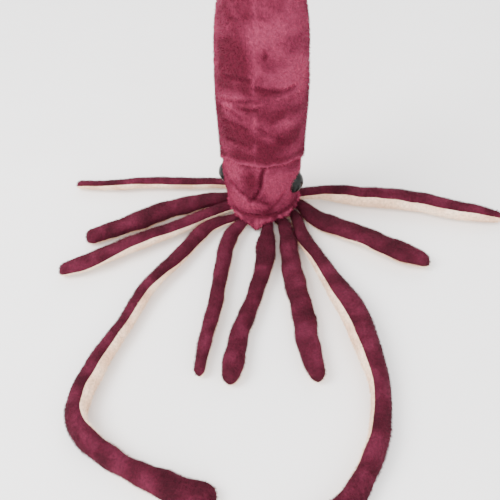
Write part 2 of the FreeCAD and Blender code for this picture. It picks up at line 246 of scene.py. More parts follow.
def through(stations, count):
    """Evenly spaced values on a smooth curve through stations given as rows."""
    knots = np.asarray(stations, float)
    ends = np.vstack([2 * knots[0] - knots[1], knots, 2 * knots[-1] - knots[-2]])
    dense = []
    for index in range(1, len(ends) - 2):
        before, start, stop, after = ends[index - 1:index + 3]
        for share in np.linspace(0, 1, CURVE_STEPS, endpoint=False):
            dense.append(0.5 * (
                2 * start + (stop - before) * share
                + (2 * before - 5 * start + 4 * stop - after) * share ** 2
                + (3 * start - before - 3 * stop + after) * share ** 3
            ))
    dense = np.array(dense + [knots[-1]])
    gone = np.r_[0, np.cumsum(np.linalg.norm(np.diff(dense[:, :3], axis=0), axis=1))]
    wanted = np.linspace(0, gone[-1], count)
    return np.column_stack([np.interp(wanted, gone, column) for column in dense.T])


def face_outwards(mesh):
    """Turns every face's front away from the inside, and shades the mesh smooth."""
    mesh.shade_smooth()
    solid = bmesh.new()
    solid.from_mesh(mesh)
    bmesh.ops.recalc_face_normals(solid, faces=solid.faces)
    solid.to_mesh(mesh)
    solid.free()


def sewn(name, rows, cream_faces, fabrics):
    """A closed fabric cover through rings of points in millimetres.

    cream_faces says, for a row and a side, whether the face there is cream.
    """
    rows = np.asarray(rows, float)
    count, sides = rows.shape[:2]
    points = np.vstack([rows[0].mean(0), rows.reshape(-1, 3), rows[-1].mean(0)])
    last = len(points) - 1
    faces = []
    cream = []
    for side in range(sides):
        after = (side + 1) % sides
        faces.append((0, 1 + after, 1 + side))
        cream.append(cream_faces(0, side))
        for row in range(count - 1):
            low = 1 + row * sides
            high = low + sides
            faces.append((low + side, low + after, high + after, high + side))
            cream.append(cream_faces(row, side))
        top = 1 + (count - 1) * sides
        faces.append((top + side, top + after, last))
        cream.append(cream_faces(count - 1, side))
    mesh = bpy.data.meshes.new(name)
    mesh.from_pydata([tuple(p) for p in points * MM], [], faces)
    for fabric in fabrics[:2]:
        mesh.materials.append(fabric)
    mesh.polygons.foreach_set("material_index", [int(c) for c in cream])
    face_outwards(mesh)
    return placed(name, mesh)


def places(mesh):
    """Every vertex of a mesh as rows of x, y, z in metres."""
    flat = np.empty(len(mesh.vertices) * 3)
    mesh.vertices.foreach_get("co", flat)
    return flat.reshape(-1, 3)


def normals(mesh):
    """Every vertex normal of a mesh."""
    flat = np.empty(len(mesh.vertices) * 3)
    mesh.vertex_normals.foreach_get("vector", flat)
    return flat.reshape(-1, 3)


def put(mesh, rows):
    """Moves every vertex to a new place in metres."""
    mesh.vertices.foreach_set("co", np.asarray(rows, float).ravel())
    mesh.update()


def plain_copy(piece):
    """The piece's mesh with its modifiers worked in."""
    settled = piece.evaluated_get(bpy.context.evaluated_depsgraph_get())
    return bpy.data.meshes.new_from_object(settled)


def rounded_off(piece):
    """Gives a piece one level of smoothing, worked in when it is shown."""
    smooth = piece.modifiers.new("rounding", "SUBSURF")
    smooth.levels = 1
    smooth.render_levels = 1


# Light fabric that stretches little and bends easily.
FABRIC = {
    "quality": 6, "mass": 0.25, "tension_stiffness": 12, "compression_stiffness": 12,
    "shear_stiffness": 4, "bending_stiffness": 0.4, "vertex_group_mass": "seams",
    "use_pressure": True,
}
FILLING_TIME = 20


def filled(piece, seams, pressure, reach):
    """Blows a cover up with its filling, held along its seams, then smooths it.

    No point moves further than reach, in metres.
    """
    before = places(piece.data)
    piece.vertex_groups.new(name="seams").add([int(s) for s in seams], 1.0, "REPLACE")
    cloth = piece.modifiers.new("filling", "CLOTH")
    for setting, value in FABRIC.items():
        setattr(cloth.settings, setting, value)
    cloth.settings.uniform_pressure_force = pressure
    cloth.settings.effector_weights.gravity = 0
    cloth.collision_settings.use_collision = False
    for moment in range(1, FILLING_TIME + 1):
        bpy.context.scene.frame_set(moment)
    blown = plain_copy(piece)
    move = places(blown) - before
    length = np.linalg.norm(move, axis=1, keepdims=True)
    move *= np.minimum(1, reach / np.maximum(length, 1e-9))
    bpy.data.meshes.remove(blown)
    piece.modifiers.clear()
    piece.vertex_groups.clear()
    put(piece.data, before + move)
    bpy.context.scene.frame_set(1)
    rounded_off(piece)
    rounded = plain_copy(piece)
    rough = piece.data
    piece.modifiers.clear()
    piece.data = rounded
    rounded.name = piece.name
    bpy.data.meshes.remove(rough)


RIDGE_HEIGHT = 0.45
RIDGE_AWAY = 2.1


def fold(mesh, route, wide, deep):
    """Presses a crease into the fabric along a route, with a soft ridge beside it.

    Returns how deep in the crease each vertex lies, from 0 to 1.
    """
    spots = places(mesh) / MM
    knots = np.asarray(route, float)
    near = np.full(len(spots), 1e9)
    for start, stop in zip(knots, knots[1:]):
        run = stop - start
        share = np.clip((spots - start) @ run / (run @ run), 0, 1)
        near = np.minimum(near, np.linalg.norm(spots - start - share[:, None] * run, axis=1))
    inside = np.exp(-(near / wide) ** 2)
    dip = RIDGE_HEIGHT * np.exp(-((near - RIDGE_AWAY * wide) / wide) ** 2) - inside
    put(mesh, (spots + normals(mesh) * (dip * deep)[:, None]) * MM)
    return inside


PILE_INPUTS = (
    ("Cover", "NodeSocketGeometry"),
    ("Fibre", "NodeSocketObject"),
    ("Fibres per square metre", "NodeSocketFloat"),
    ("Fibre length", "NodeSocketFloat"),
    ("Lean of the nap", "NodeSocketFloat"),
    ("Unruliness", "NodeSocketFloat"),
    ("Seed", "NodeSocketInt"),
    ("Main plush", "NodeSocketMaterial"),
    ("Cream plush", "NodeSocketMaterial"),
)


def pile_tree():
    """Fibres scattered on a cover, standing in its nap, as one plain mesh."""
    tree = bpy.data.node_groups.new("short_pile", "GeometryNodeTree")
    for label, kind in PILE_INPUTS:
        tree.interface.new_socket(label, in_out="INPUT", socket_type=kind)
    tree.interface.new_socket("Pile", in_out="OUTPUT", socket_type="NodeSocketGeometry")
    given = add(tree, "NodeGroupInput").outputs
    thickness = add(tree, "GeometryNodeInputNamedAttribute", {0: "pile"}, data_type="FLOAT")
    number = add(tree, "ShaderNodeMath", {
        0: given["Fibres per square metre"], 1: thickness.outputs[0],
    }, operation="MULTIPLY")
    roots = add(tree, "GeometryNodeDistributePointsOnFaces", {
        "Mesh": given["Cover"], "Density": number.outputs[0], "Seed": given["Seed"],
    })
    nap = add(tree, "GeometryNodeInputNamedAttribute", {0: "nap"}, data_type="FLOAT_VECTOR")
    leaning = add(tree, "ShaderNodeVectorMath", {
        0: nap.outputs[0], "Scale": given["Lean of the nap"],
    }, operation="SCALE")
    toss = add(tree, "FunctionNodeRandomValue", {
        0: (-1.0, -1.0, -1.0), 1: (1.0, 1.0, 1.0), "Seed": given["Seed"],
    }, data_type="FLOAT_VECTOR")
    tossed = add(tree, "ShaderNodeVectorMath", {
        0: toss.outputs[0], "Scale": given["Unruliness"],
    }, operation="SCALE")
    upright = add(tree, "ShaderNodeVectorMath", {
        0: roots.outputs["Normal"], 1: leaning.outputs[0],
    }, operation="ADD")
    heading = add(tree, "ShaderNodeVectorMath", {0: upright.outputs[0], 1: tossed.outputs[0]},
                  operation="ADD")
    spin = add(tree, "FunctionNodeRandomValue", {
        0: (0.0, 0.0, 0.0), 1: (0.0, 0.0, 2 * math.pi), "Seed": given["Seed"],
    }, data_type="FLOAT_VECTOR")
    turned = add(tree, "FunctionNodeEulerToRotation", {0: spin.outputs[0]})
    stance = add(tree, "FunctionNodeAlignRotationToVector", {
        "Rotation": turned.outputs[0], "Vector": heading.outputs[0],
    }, axis="Z")
    uneven = add(tree, "FunctionNodeRandomValue", {2: 0.65, 3: 1.2, "Seed": given["Seed"]},
                 data_type="FLOAT")
    long = add(tree, "ShaderNodeMath", {0: uneven.outputs[1], 1: given["Fibre length"]},
               operation="MULTIPLY")
    fibre = add(tree, "GeometryNodeObjectInfo", {0: given["Fibre"]})
    planted = add(tree, "GeometryNodeInstanceOnPoints", {
        "Points": roots.outputs["Points"],
        "Instance": fibre.outputs["Geometry"],
        "Rotation": stance.outputs[0],
        "Scale": long.outputs[0],
    })
    lot = add(tree, "FunctionNodeRandomValue", {2: 0.0, 3: 1.0, "Seed": given["Seed"]},
              data_type="FLOAT")
    marked = add(tree, "GeometryNodeStoreNamedAttribute", {
        "Geometry": planted.outputs[0], "Name": "lot", "Value": lot.outputs[1],
    }, data_type="FLOAT", domain="INSTANCE")
    real = add(tree, "GeometryNodeRealizeInstances", {0: marked.outputs[0]})
    main = add(tree, "GeometryNodeSetMaterial", {
        "Geometry": real.outputs[0], "Material": given["Main plush"],
    })
    cream = add(tree, "GeometryNodeInputNamedAttribute", {0: "cream"}, data_type="FLOAT")
    is_cream = add(tree, "FunctionNodeCompare", {0: cream.outputs[0], 1: 0.5},
                   data_type="FLOAT", operation="GREATER_THAN")
    done = add(tree, "GeometryNodeSetMaterial", {
        "Geometry": main.outputs[0], "Selection": is_cream.outputs[0],
        "Material": given["Cream plush"],
    })
    add(tree, "NodeGroupOutput", {0: done.outputs[0]})
    return tree


short_pile = pile_tree()

# One fibre: a flat blade one unit long, bent over towards its tip. The along
# attribute says how far up the blade a point is.
fibre_mesh = bpy.data.meshes.new("fibre")
fibre_mesh.from_pydata(
    [(-0.07, 0, 0), (0.07, 0, 0), (0.06, 0.10, 0.55), (-0.06, 0.10, 0.55), (0, 0.34, 0.94)],
    [], [(0, 1, 2, 3), (3, 2, 4)],
)
fibre_mesh.attributes.new("along", "FLOAT", "POINT").data.foreach_set(
    "value", (0.0, 0.0, 0.6, 0.6, 1.0)
)
fibre_mesh.shade_smooth()
fibre = bpy.data.objects.new("fibre", fibre_mesh)


def wandering(spots, span_mm, seed):
    """A smooth random value from about -1 to 1 at each spot, repeating over that span."""
    rule = np.random.default_rng(seed)
    total = np.zeros(len(spots))
    for _ in range(5):
        heading = rule.normal(size=3)
        heading /= np.linalg.norm(heading)
        phase = rule.uniform(0, 2 * math.pi)
        pace = rule.uniform(0.7, 1.4) * 2 * math.pi / span_mm
        total += np.sin(spots @ heading * pace + phase)
    return total / 3.2


def paint_nap_and_shade(mesh, amounts):
    """Marks how the nap was brushed, with painted shade and painted lighter marks, at each vertex: 1
    is darkest and -1 lightest.
    """
    mesh.attributes.new("swept", "FLOAT", "POINT").data.foreach_set("value", amounts)


NAP_WANDERS_OVER = 38
NAP_WANDERS_BY = 0.8
NAP_LEAN = 0.75
NAP_UNRULY = 0.55


def grow_pile(piece, nap, fabrics, length_mm, per_mm2, seed, bare=None):
    """Grows a cover's pile as a mesh of its own, with the nap laid in one direction.

    bare gives, for places in millimetres, 1 where no pile grows and 0 elsewhere.
    """
    mesh = piece.data
    spots = places(mesh) / MM
    sway = np.column_stack([
        wandering(spots, NAP_WANDERS_OVER, seed + turn) for turn in (1, 2, 3)
    ])
    laid = np.tile(nap, (len(spots), 1)) + NAP_WANDERS_BY * sway
    mesh.attributes.new("nap", "FLOAT_VECTOR", "POINT").data.foreach_set("vector", laid.ravel())
    thickness = np.ones(len(spots)) if bare is None else 1.0 - bare(spots)
    mesh.attributes.new("pile", "FLOAT", "POINT").data.foreach_set("value", thickness)
    index = np.empty(len(mesh.polygons), dtype=np.int32)
    mesh.polygons.foreach_get("material_index", index)
    mesh.attributes.new("cream", "FLOAT", "FACE").data.foreach_set("value", index.astype(float))
    grower = placed(piece.name + "_pile", mesh)
    modifier = grower.modifiers.new("pile", "NODES")
    modifier.node_group = short_pile
    values = {
        "Fibre": fibre,
        "Fibres per square metre": per_mm2 * 1e6,
        "Fibre length": length_mm * MM,
        "Lean of the nap": NAP_LEAN,
        "Unruliness": NAP_UNRULY,
        "Seed": seed,
        "Main plush": fabrics[2],
        "Cream plush": fabrics[3],
    }
    for socket in short_pile.interface.items_tree:
        if socket.in_out == "INPUT" and socket.name in values:
            modifier[socket.identifier] = values[socket.name]
    grown = plain_copy(grower)
    grower.modifiers.clear()
    grower.data = grown
    grown.name = grower.name
    return grower


def show(piece, slot, *nodes):
    """Hides the solids that a piece stands for."""
    if nodes:
        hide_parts(*nodes)


NECK = np.array((0.0, 0.0, 38.0))
LEAN = math.radians(4.0)
MANTLE_SIDE = (
    (22, 37.9), (34, 38.9), (50, 39.6), (72, 40.2), (116, 40.8), (168, 38.3), (200, 32.4),
    (245, 20.0), (276, 11.4), (286, 8.8), (292.4, 5.6),
)
# How far above the neck the hem runs, by angle round the body. It is drawn up in
# front, where the mantle is sewn further up the head than at the sides and back.
HEM = (
    (-180, 26), (-165, 34.5), (-150, 42.5), (-135, 47.8), (-120, 50.2), (-90, 51.5), (-60, 51.0),
    (-45, 50.2), (-30, 48.0), (-15, 43.8), (0, 37), (30, 30), (90, 27), (150, 26), (180, 26),
)
DORSAL_SEAM = -90.0
FLANK = 112.5
MANTLE_RING = 80
LEAN_TURN = np.array((
    (math.cos(LEAN), 0, math.sin(LEAN)), (0, 1, 0), (-math.sin(LEAN), 0, math.cos(LEAN)),
))


def leaned(rows):
    """Points drawn upright from the neck, leant with the mantle."""
    return np.asarray(rows, float) @ LEAN_TURN.T + NECK


def upright(spots):
    """The opposite: places on the toy, as drawn upright from the neck."""
    return (np.asarray(spots, float) - NECK) @ LEAN_TURN


def round_angles(sides):
    """Angles in degrees round a body, the first one on the dorsal seam."""
    angles = DORSAL_SEAM + np.arange(sides) * 360 / sides
    return (angles + 180) % 360 - 180


def ring(radius, height, sides):
    """Points round the vertical axis at radii and heights, one or many of each."""
    angles = np.radians(round_angles(sides))
    return np.column_stack([
        radius * np.cos(angles), radius * np.sin(angles), height * np.ones(sides),
    ])


def hem_at(angles):
    """The hem's height above the neck at angles in degrees, a little ragged."""
    knots = np.array(HEM, float)
    ragged = 0.5 * np.sin(np.radians(angles) * 11 + 1) + 0.35 * np.sin(np.radians(angles) * 26)
    return np.interp(angles, knots[:, 0], knots[:, 1]) + ragged


def over_hem(drawn):
    """How far above the hem each place lies, as drawn upright from the neck."""
    return drawn[:, 2] - hem_at(np.degrees(np.arctan2(drawn[:, 1], drawn[:, 0])))


def brushed(spots, patches):
    """Adds up soft patches given as x, height, half-width, half-height and strength."""
    drawn = upright(spots)
    total = np.zeros(len(drawn))
    for x, height, wide, tall, strength in patches:
        gap = ((drawn[:, 0] - x) / wide) ** 2 + ((drawn[:, 2] - height) / tall) ** 2
        total += strength * np.exp(-gap) * (drawn[:, 1] < 0)
    return total


side_curve = through([(radius, height, 0) for height, radius in MANTLE_SIDE], 160)
mantle_angles = round_angles(MANTLE_RING)
hem = hem_at(mantle_angles)


def mantle_radius(height):
    """The mantle's radius at heights above the neck."""
    return np.interp(height, side_curve[:, 1], side_curve[:, 0])


# The lower edge is turned up inside: how far in from the outside, and how far
# above the hem.
TURNED_UP = ((5.0, 11.0), (2.6, 7.0), (1.7, 2.5), (1.0, 0.4), (0.2, -0.3))
MANTLE_TIP = 292.0
MANTLE_ROWS = 77
COVER_INSIDE = 0.8
HEM_SWELL = 1.1
mantle_rows = [ring(14.0, 60.0, MANTLE_RING)]
for inward, above in TURNED_UP:
    mantle_rows.append(ring(mantle_radius(hem + above) - inward, hem + above, MANTLE_RING))
first = len(mantle_rows)
for share in np.linspace(0, 1, MANTLE_ROWS + 1)[1:]:
    height = hem + (MANTLE_TIP - hem) * share
    swell = HEM_SWELL * np.exp(-((height - hem - 1.5) / 3.0) ** 2)
    mantle_rows.append(ring(mantle_radius(height) - COVER_INSIDE + swell, height, MANTLE_RING))
belly_from = round(FLANK / 360 * MANTLE_RING)
belly_to = MANTLE_RING - belly_from


def held_at(count, sides, seams, ends):
    """The vertices of a cover that its filling can't move: its seams and its ends.

    seams is a group of sides, and ends says whether a row is held all round.
    """
    return [
        1 + row * sides + side
        for row in range(count) for side in range(sides) if side in seams or ends(row)
    ]


mantle = sewn(
    "mantle", leaned(np.array(mantle_rows)),
    lambda row, side: belly_from <= side < belly_to, BODY_PLUSH,
)
held = held_at(
    len(mantle_rows), MANTLE_RING, (0, belly_from, belly_to), lambda row: row <= first + 1
)
filled(mantle, held, pressure=4.0, reach=0.004)

# Creases where the soft filling gives: points of x and height on the front,
# half-width and depth.
CREASES = (
    (((-26, 136), (-16, 139), (-4, 139)), 2.6, 1.8),
    (((3, 133), (12, 130), (22, 127), (32, 129)), 3.0, 2.4),
    (((-30, 111), (-18, 116), (-6, 120), (3, 121)), 2.8, 2.2),
    (((-18, 112), (-8, 111), (2, 113)), 2.4, 1.4),
    (((-33, 103), (-22, 107), (-12, 102)), 2.4, 1.6),
    (((4, 94), (14, 86), (28, 74)), 3.2, 1.5),
    (((-30, 90), (-20, 94), (-8, 92)), 2.8, 1.3),
    (((-26, 72), (-14, 76), (-4, 72)), 3.0, 1.4),
    (((8, 166), (10, 162), (9, 159)), 1.8, 1.2),
)
CREASE_SHADE = 0.55
CREASE_TIGHTNESS = 0.8
painted_crease_shade = np.zeros(len(mantle.data.vertices))
for route, wide, deep in CREASES:
    along = [(x, -math.sqrt(max(mantle_radius(h) ** 2 - x * x, 1.0)), h) for x, h in route]
    painted_crease_shade += CREASE_SHADE * fold(mantle.data, leaned(along), wide * CREASE_TIGHTNESS, deep)
seam_line = [(0, -mantle_radius(h) - 0.3, h) for h in (54, 90, 130, 170, 200, 240, 280)]
in_seam = fold(mantle.data, leaned(seam_line), wide=1.4, deep=1.0)

# Where the nap was brushed: x, height, half-width, half-height, strength.
MANTLE_NAP = (
    (-17, 153, 13, 19, 1.7), (-15, 131, 12, 6, 1.0), (8, 162, 3, 3, 0.6), (18, 129, 14, 4, 1.0),
    (25, 118, 12, 7, 0.5), (-8, 113, 10, 4, 0.9), (-17, 83, 13, 11, 1.4), (-33, 100, 5, 10, 0.5),
    (30, 78, 9, 11, 0.8), (12, 68, 10, 7, 0.9), (-8, 62, 15, 5, 0.9), (27, 158, 14, 26, -0.8),
    (32, 140, 9, 13, -1.0), (-24, 112, 10, 7, -1.2), (-6, 122, 12, 3.5, -0.7), (26, 107, 14, 7, 1.0),
    (24, 97, 8, 4, -0.6), (13, 83, 6, 5, -0.7), (-34, 165, 5, 24, -1.0), (12, 178, 14, 6, -0.6),
    (-34, 60, 8, 6, -0.7), (14, 146, 9, 9, -0.5), (0, 205, 30, 18, 0.3),
)
spots = places(mantle.data) / MM
drawn = upright(spots)
above_hem = over_hem(drawn)
# Painted shade darkens the creases and the fold above the hem, and the seam and the hem's edge are
# painted lighter.
flecked = 0.6 + 0.4 * np.sin(drawn[:, 2] / 3.1) * np.sin(drawn[:, 2] / 7.7 + 1)
nap_and_shade_marks = brushed(spots, MANTLE_NAP) + painted_crease_shade - 1.7 * flecked * in_seam
nap_and_shade_marks += 0.8 * np.exp(-((above_hem - 7) / 3.5) ** 2) - 2.0 * np.exp(-(above_hem / 2.0) ** 2)
paint_nap_and_shade(mantle.data, nap_and_shade_marks)
show(mantle, "maroon_plush", "mantle_dorsal_left", "mantle_dorsal_right", "mantle_belly",
     "mantle_stuffing")


TUCKED_BELOW = 70
TUCKED_INSIDE = 2.2


def tucked_in(at):
    """1 where the mantle's cover is turned up inside itself, out of sight."""
    drawn = upright(at)
    outwards = np.linalg.norm(drawn[:, :2], axis=1)
    inside = outwards < mantle_radius(drawn[:, 2]) - TUCKED_INSIDE
    return (inside & (drawn[:, 2] < TUCKED_BELOW)).astype(float)


mantle_pile = grow_pile(
    mantle, (0.05, 0.0, -1.0), BODY_PLUSH, length_mm=2.2, per_mm2=0.95, seed=11, bare=tucked_in
)
for part in (mantle, mantle_pile):
    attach(part, "mantle")


# ------------------------------------------------------------------------ head
# A short cup of the same plush, sewn from two dorsal panels and a cream belly
# panel, and closed below by a cream disc round the mouth. Its upper edge is
# tucked in under the mantle's hem and sewn there.
HEAD_SIDE = (
    (0.5, 12), (0.9, 18.5), (3, 22.5), (9, 24.5), (15, 26.5), (21.5, 28.4), (23.6, 31.4),
    (25.4, 33.4), (28.4, 34.4), (33, 34.6), (40, 35.2), (46, 35.7),
)
HEAD_RING = 72
head_rows = [
    ring(radius, height, HEAD_RING)
    for radius, height, _ in through([(r, z, 0) for z, r in HEAD_SIDE], 34)
]
# From the cheeks the cover runs up under the mantle's hem, and is turned in there.
below = head_rows[-1]
head_hem = hem_at(round_angles(HEAD_RING))
tuck = leaned(ring(mantle_radius(head_hem) - 3.0, head_hem + 0.6, HEAD_RING))
CHEEK_BULGE = 0.7
CHEEK_ROWS = 17
for share in np.linspace(0, 1, CHEEK_ROWS + 1)[1:]:
    outward = ring(CHEEK_BULGE * math.sin(math.pi * share), 0.0, HEAD_RING)
    head_rows.append(below + (tuck - below) * share + outward)
upper_edge = len(head_rows)
head_rows.append(leaned(ring(mantle_radius(head_hem) - 4.2, head_hem + 3.4, HEAD_RING)))
head_rows.append(leaned(ring(22.0, 48.0 + 0.3 * (head_hem - 38), HEAD_RING)))
head_rows.append(leaned(ring(8.0, 51.0, HEAD_RING)))
head_belly_from = round(FLANK / 360 * HEAD_RING)
head_belly_to = HEAD_RING - head_belly_from
MOUTH_ROWS = 4
LOWER_EDGE_ROWS = 14
head = sewn(
    "head", head_rows,
    lambda row, side: row < MOUTH_ROWS or head_belly_from <= side < head_belly_to, BODY_PLUSH,
)
held = held_at(
    len(head_rows), HEAD_RING, (0, head_belly_from, head_belly_to),
    lambda row: row < LOWER_EDGE_ROWS or row > upper_edge - 3,
)
filled(head, held, pressure=3.0, reach=0.0015)
# Dents as points of x and height, with their half-width and depth.
HEAD_CREASES = (
    (((9, 50), (6, 42), (5, 33), (4, 24), (0, 14), (-6, 4)), 1.9, 3.0),
    (((-24, 20), (-12, 12), (0, 8), (12, 2)), 2.8, 1.5),
    (((10, -8), (18, 0), (26, 12)), 2.8, 1.4),
)
CREASE_RADIUS = 37.0
painted_crease_shade = np.zeros(len(head.data.vertices))
for route, wide, deep in HEAD_CREASES:
    along = [
        (x, -math.sqrt(CREASE_RADIUS ** 2 - x * x) + max(0, 20 - h) * 0.12, h) for x, h in route
    ]
    painted_crease_shade += fold(head.data, leaned(along), wide, deep)
# Where the nap was brushed: x, height, half-width, half-height, strength.
HEAD_NAP = (
    (-5, 34, 6, 13, 1.3), (5, 38, 3, 10, 0.5), (-22, 34, 11, 18, -1.5), (21, 26, 12, 18, -1.3),
    (0, 0, 20, 6, -0.9), (8, 47, 12, 3, -0.6), (-14, 10, 8, 6, -0.5),
)
spots = places(head.data) / MM
below_hem = -over_hem(upright(spots))
# Painted shade: the creases are darker, and so is the cover close under the mantle's hem, with a
# painted shadow low down, in the slit above the skirt and under it.
nap_and_shade_marks = brushed(spots, HEAD_NAP) + 1.3 * painted_crease_shade
nap_and_shade_marks += 1.0 * np.exp(-((below_hem - 1) / 2.5) ** 2)
nap_and_shade_marks += 2.0 * np.clip((26.5 - spots[:, 2]) / 3, 0, 1)
paint_nap_and_shade(head.data, nap_and_shade_marks)
show(head, "maroon_plush", "head_dorsal_left", "head_dorsal_right", "head_belly",
     "head_stuffing", "mouth_disc")


UNDER_SKIRT = 24.6


def out_of_sight(at):
    """1 where nobody sees the head's cover: under the skirt and up in the hem."""
    return ((at[:, 2] < UNDER_SKIRT) | (over_hem(upright(at)) > 1.5)).astype(float)


head_pile = grow_pile(
    head, (0.1, 0.0, -0.9), BODY_PLUSH, length_mm=2.2, per_mm2=1.2, seed=23, bare=out_of_sight
)
for part in (head, head_pile):
    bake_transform(part)


# ----------------------------------------------------------------------- crown
# A ragged skirt of plush, sewn to the head's lower edge over the ends of the
# ten limbs. A point of it hangs to the table in front, between two arms.
CROWN_RING = 120
CROWN_POINT = 262.0
CROWN_BACK = 82.0
HANGS_AT = 14.5
POINT_DROP = 13.2
POINT_HALF = 20
BACK_DROP = 11.0
BACK_HALF = 62
BACK_FADE = 20


def hem_height(angles):
    """The skirt's lower edge by angle: high over the limbs, low at the point and behind."""
    away = np.abs((angles - CROWN_POINT + 180) % 360 - 180)
    behind = np.abs((angles - CROWN_BACK + 180) % 360 - 180)
    height = HANGS_AT - POINT_DROP * np.clip(1 - away / POINT_HALF, 0, 1) ** 0.9
    height -= BACK_DROP * np.clip((BACK_HALF - behind) / BACK_FADE, 0, 1)
    rule = np.random.default_rng(5)
    ragged = sum(
        rule.uniform(0.35, 0.8) * np.sin(np.radians(angles) * pace + rule.uniform(0, 6.3))
        for pace in (9, 14, 23, 31)
    )
    return np.maximum(height + ragged, 1.0)


# Its section runs up the outside and down the inside: radius, and share of the
# height from the hem to the top. The cloth hangs in uneven gathers.
CROWN_SECTION = (
    (29.4, 0.97), (30.6, 1.0), (32.0, 0.97), (33.4, 0.86), (34.3, 0.6), (34.4, 0.3),
    (33.8, 0.06), (32.6, 0.0), (31.4, 0.05), (31.0, 0.25), (30.6, 0.55), (29.8, 0.8), (29.2, 0.9),
)
GATHERED_BEYOND = 32
angles = 360.0 * np.arange(CROWN_RING) / CROWN_RING
low = hem_height(angles)
around = np.radians(angles)
patchy = 0.55 + 0.45 * np.sin(around * 3 + 1) * np.sin(around * 5 + 2)
lumps = 1.2 * np.sin(around * 8 + 0.6) + patchy * (np.sin(around * 19) + np.sin(around * 27 + 2))
top = 22.0 + 0.5 * np.sin(around * 7) + 0.6 * patchy * np.sin(around * 18 + 2)
crown_rows = []
for radius, share in CROWN_SECTION:
    height = low + (top - low) * share
    outward = radius + lumps * math.sin(math.pi * share) * (radius > GATHERED_BEYOND)
    crown_rows.append(np.column_stack([
        outward * np.cos(around), outward * np.sin(around), height,
    ]))
crown_mesh = bpy.data.meshes.new("arm_crown_skirt")
crown_points = np.array(crown_rows).reshape(-1, 3) * MM
rings = len(crown_rows)
crown_mesh.from_pydata(
    [tuple(p) for p in crown_points], [],
    [
        (
            row * CROWN_RING + side,
            row * CROWN_RING + (side + 1) % CROWN_RING,
            (row + 1) % rings * CROWN_RING + (side + 1) % CROWN_RING,
            (row + 1) % rings * CROWN_RING + side,
        )
        for row in range(rings) for side in range(CROWN_RING)
    ],
)
crown_mesh.materials.append(maroon_skin)
crown_mesh.materials.append(cream_skin)
face_outwards(crown_mesh)
crown = placed("arm_crown_skirt", crown_mesh)
show(crown, "maroon_plush", "arm_crown")
spots = places(crown_mesh) / MM
outwards = np.linalg.norm(spots[:, :2], axis=1)
# Painted shade: the skirt's top lip, in the slit under the head, is darker, and the skirt darker the
# further in it lies and lighter the further out.
paint_nap_and_shade(crown_mesh, 1.5 * np.clip((spots[:, 2] - 20) / 2, 0, 1) - 1.0 * (outwards - 33.6))
crown_pile = grow_pile(
    crown, (0.0, 0.0, -1.0), BODY_PLUSH, length_mm=2.4, per_mm2=1.3, seed=31,
    bare=lambda at: ((np.linalg.norm(at[:, :2], axis=1) < 31.6) | (at[:, 2] > 21.6)).astype(float),
)
for part in (crown, crown_pile):
    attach(part, "head")


# ------------------------------------------------------------------------ eyes
# Moulded safety eyes: a black-brown domed button on a shank, pushed through
# the fabric and locked behind it, with a thin rim pressed into the pile.
EYE_RING = 32
EYE_REACH = 8.5

# Acrylic, injection moulded in a polished die: glassy, with a faint flow in it.
eye_plastic, tree = bare_material("acrylic_moulded_gloss")
place = add(tree, "ShaderNodeTexCoord").outputs["Object"]
wear = add(tree, "ShaderNodeTexNoise", {"Vector": place, "Scale": 900.0})
gloss = add(tree, "ShaderNodeMapRange", {0: wear.outputs[0], 3: 0.14, 4: 0.22})
lens = add(tree, "ShaderNodeBsdfPrincipled", {
    "Base Color": two_toned(tree, place, 160.0, "#100C0B", "#1E2120", detail=1.0),
    "Roughness": gloss.outputs[0], "IOR": 1.49, "Specular IOR Level": 0.13,
})
add(tree, "ShaderNodeOutputMaterial", {"Surface": lens.outputs[0]})

# The eye's side: radius and how far it stands out from the fabric.
EYE_PROFILE = (
    (0.1, 8.5), (2.6, 8.3), (5.2, 7.4), (7.6, 5.8), (9.4, 3.9), (10.5, 2.1), (11.0, 1.0),
    (11.0, -0.6), (10.0, -1.2), (6.0, -1.3), (2.5, -1.3), (2.4, -9.0), (0.1, -9.0),
)
# The head is turned a little, so the right eye looks further forward.
EYE_ANGLE = {"eye_left": 177.0, "eye_right": -15.0}
for name, side in (("eye_left", -1), ("eye_right", 1)):
    low_corner, high_corner = (np.array(corner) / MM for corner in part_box(name))
    angle = math.radians(EYE_ANGLE[name])
    out = np.array((math.cos(angle), math.sin(angle), 0))
    across = np.array((-out[1], out[0], 0))
    tip = high_corner[0] if side > 0 else low_corner[0]
    centre = (low_corner[2] + high_corner[2]) / 2
    seat = out * (tip / out[0] - EYE_REACH) + np.array((0, 0, centre))
    steps = np.arange(EYE_RING) * 2 * math.pi / EYE_RING
    eye_rows = [
        seat + out * depth + radius * (
            np.cos(steps)[:, None] * across + np.sin(steps)[:, None] * np.array((0, 0, 1.0))
        )
        for radius, depth in EYE_PROFILE
    ]
    eye = sewn(name + "_button", eye_rows, lambda row, side: False, (eye_plastic, eye_plastic))
    rounded_off(eye)
    show(eye, "eye_gloss", name)
    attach(eye, "head")


# ------------------------------------------------------------------------ fins
# Two flat rounded fins of plush, maroon in front and cream behind, lightly
# filled and sewn to the sides of the mantle's cone along their roots.
# The fin's outline: share of its length along the root, and of its span.
FIN_EDGE = (
    (0, 0), (0, 0.4), (0.09, 0.7), (0.28, 0.93), (0.5, 1.0), (0.72, 0.86), (0.9, 0.56),
    (1.0, 0.2), (1.0, 0),
)
FIN_LENGTH = 78.0
FIN_SPAN = 44.0
FIN_HALF_THICKNESS = 3.9
FIN_TUCK = 4.0
FIN_ROWS = 15
FIN_RING = 24
